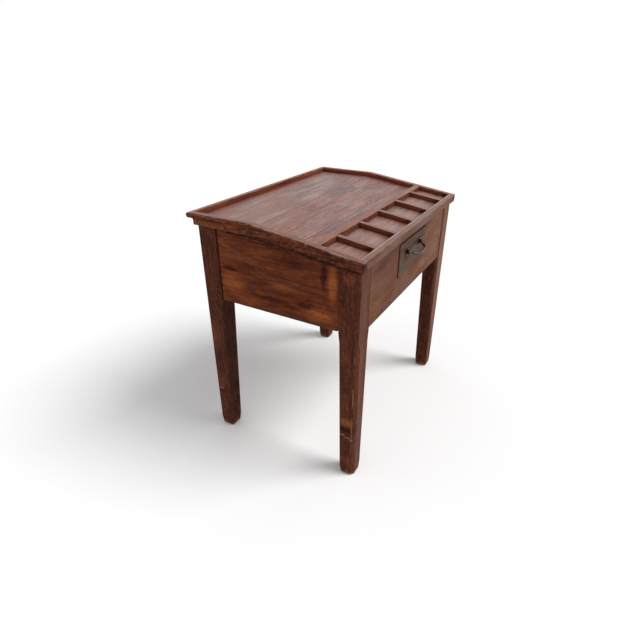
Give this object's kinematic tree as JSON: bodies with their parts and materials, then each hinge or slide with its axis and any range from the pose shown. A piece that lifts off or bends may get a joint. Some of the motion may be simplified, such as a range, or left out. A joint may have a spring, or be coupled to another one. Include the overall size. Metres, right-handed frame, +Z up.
{
  "type": "wooden workbench",
  "caption": "Low wooden workbench with tapered legs, a rimmed tray top that slopes down to a row of shallow front compartments, and a small front drawer with a bail handle.",
  "frame": {"origin": "on the floor under the middle of the bench's bounding box", "axes": "+Z up, +X along the front to the right as seen by a person at the drawer, +Y from the drawer front to the back"},
  "size_m": [0.646, 0.482, 0.635],
  "materials": {
    "leg_wood": "dark reddish brown stain, waxed, worn at the edges",
    "apron_wood": "reddish brown stain, waxed",
    "tray_wood": "reddish brown stain, waxed, worn and scratched",
    "rim_wood": "reddish brown stain, waxed, rubbed along the edges",
    "plain_wood": "bare, aged",
    "drawer_wood": "dark stain, greyed by use",
    "iron": "dark, worn bright on the bail"
  },
  "bodies": {
    "bench": {"leg_front_left": "leg_wood", "leg_front_right": "leg_wood", "leg_rear_left": "leg_wood", "leg_rear_right": "leg_wood", "side_apron_left": "apron_wood", "side_apron_right": "apron_wood", "rear_apron": "apron_wood", "front_apron": "apron_wood", "tray_board_lower": "tray_wood", "tray_board_upper": "tray_wood", "tray_board_level": "tray_wood", "rear_cornice": "tray_wood", "side_rail_left": "rim_wood", "side_rail_right": "rim_wood", "front_rail": "rim_wood", "rear_rim": "rim_wood", "compartment_bar": "rim_wood", "divider_1": "rim_wood", "divider_2": "rim_wood", "divider_3": "rim_wood", "divider_4": "rim_wood", "divider_5": "rim_wood", "drawer_runner_left": "plain_wood", "drawer_guide_left": "plain_wood", "drawer_kicker_left": "plain_wood", "drawer_stop_left": "plain_wood", "drawer_runner_right": "plain_wood", "drawer_guide_right": "plain_wood", "drawer_kicker_right": "plain_wood", "drawer_stop_right": "plain_wood"},
    "drawer": {"drawer_front": "drawer_wood", "drawer_side_left": "plain_wood", "drawer_side_right": "plain_wood", "drawer_back": "plain_wood", "drawer_bottom": "plain_wood", "handle_post_left": "iron", "handle_post_right": "iron", "handle_nuts": "iron"},
    "bail": {"handle_bail": "iron"}
  },
  "joints": [
    {"name": "drawer_slide", "type": "slide", "parent": "bench", "child": "drawer", "axis": [0, -1, 0], "range_m": [0, 0.23]},
    {"name": "bail_swing", "type": "hinge", "parent": "drawer", "child": "bail", "pos_m": [0, -0.2185, 0.531], "axis": [-1, 0, 0], "range_deg": [-67, 112]}
  ]
}
